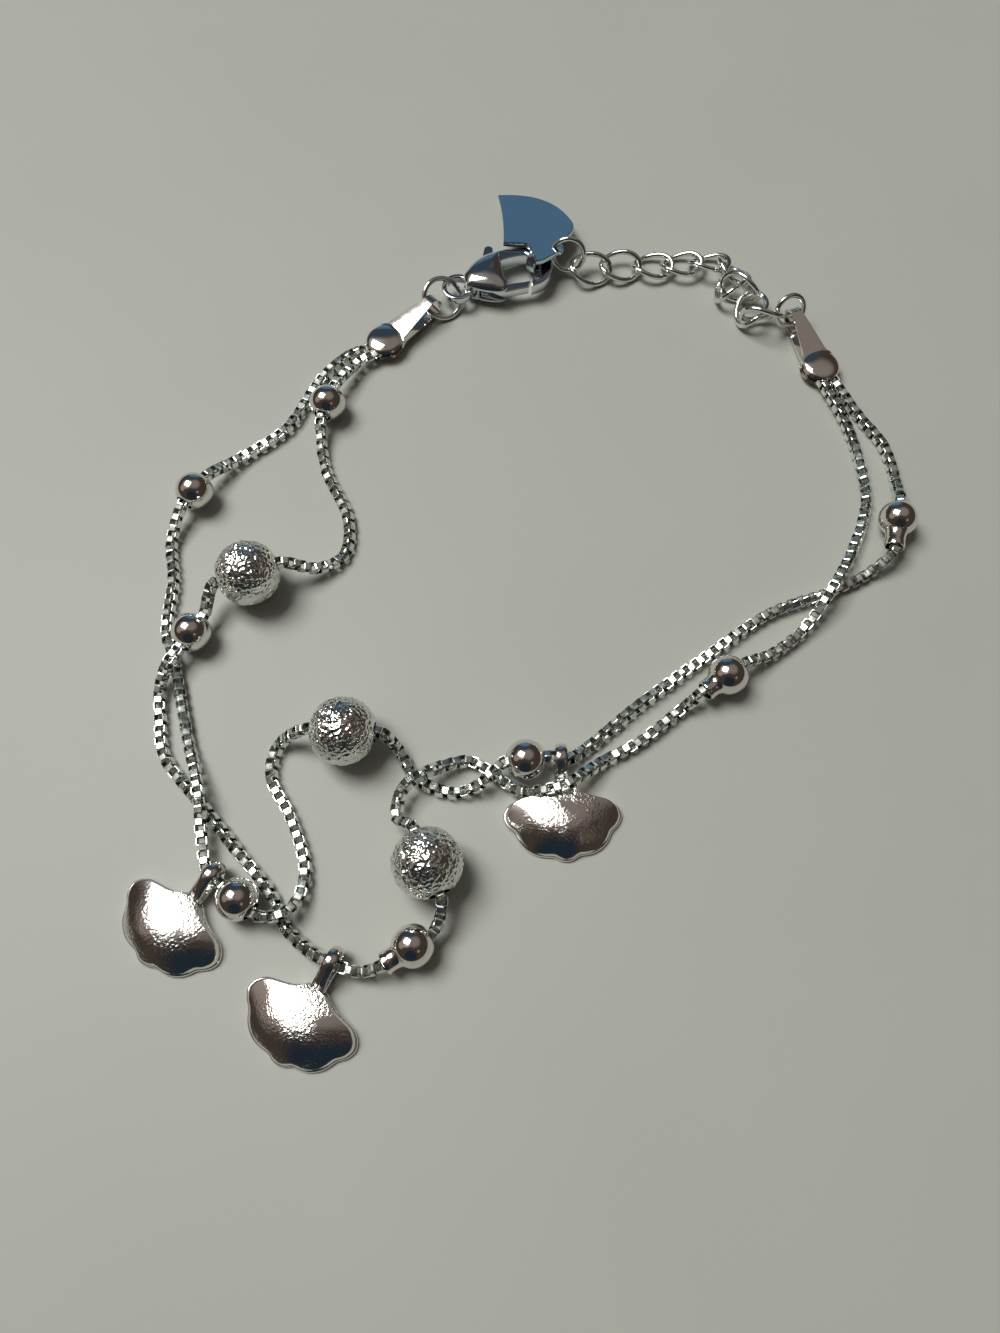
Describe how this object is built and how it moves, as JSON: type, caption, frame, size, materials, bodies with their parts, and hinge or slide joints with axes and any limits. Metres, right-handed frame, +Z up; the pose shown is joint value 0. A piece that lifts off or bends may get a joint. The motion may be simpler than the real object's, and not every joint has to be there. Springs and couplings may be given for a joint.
{
  "type": "bracelet",
  "caption": "Flexible bracelet of two thin box chains threaded with round beads, with ginkgo-leaf charms, a lobster clasp, a bare fin-shaped tag and a short extender chain.",
  "frame": {"origin": "middle of the bracelet's box, on the surface it lies on", "axes": "+Z up from the surface; +Y from the leaf charms towards the clasp and tag; +X along the extender chain"},
  "size_m": [0.0596, 0.0762, 0.005],
  "materials": {
    "chain": "bright silver plate",
    "polished_silver": "mirror silver plate",
    "frosted_silver": "sparkling rough silver plate",
    "cast_silver": "polished cast silver plate",
    "wire_silver": "bright silver-plated wire",
    "clasp_silver": "mirror silver plate",
    "tag_mirror": "flat mirror silver plate"
  },
  "bodies": {
    "bracelet": {"strand_a": "chain", "strand_b": "chain", "smooth_bead_1": "polished_silver", "smooth_bead_2": "polished_silver", "smooth_bead_3": "polished_silver", "smooth_bead_4": "polished_silver", "smooth_bead_5": "polished_silver", "smooth_bead_6": "polished_silver", "smooth_bead_7": "polished_silver", "smooth_bead_8": "polished_silver", "frosted_bead_1": "frosted_silver", "frosted_bead_2": "frosted_silver", "frosted_bead_3": "frosted_silver", "leaf_1": "cast_silver", "leaf_2": "cast_silver", "leaf_3": "cast_silver", "cap_left": "polished_silver", "cap_right": "polished_silver", "ring_left": "wire_silver", "ring_tag": "wire_silver", "ring_right": "wire_silver", "link_1": "wire_silver", "link_2": "wire_silver", "link_3": "wire_silver", "link_4": "wire_silver", "link_5": "wire_silver", "link_6": "wire_silver", "link_7": "wire_silver", "link_8": "wire_silver", "link_9": "wire_silver", "link_10": "wire_silver", "clasp_body": "clasp_silver", "tag": "tag_mirror"},
    "gate": {"clasp_gate": "clasp_silver"}
  },
  "joints": [
    {"name": "clasp_lever", "type": "hinge", "parent": "bracelet", "child": "gate", "pos_m": [-0.00464, 0.0271, 0.0013], "axis": [0, 0, 1], "range_deg": [0, 25], "stiffness_Nm_per_rad": 0.002, "springref_deg": -11.46}
  ]
}
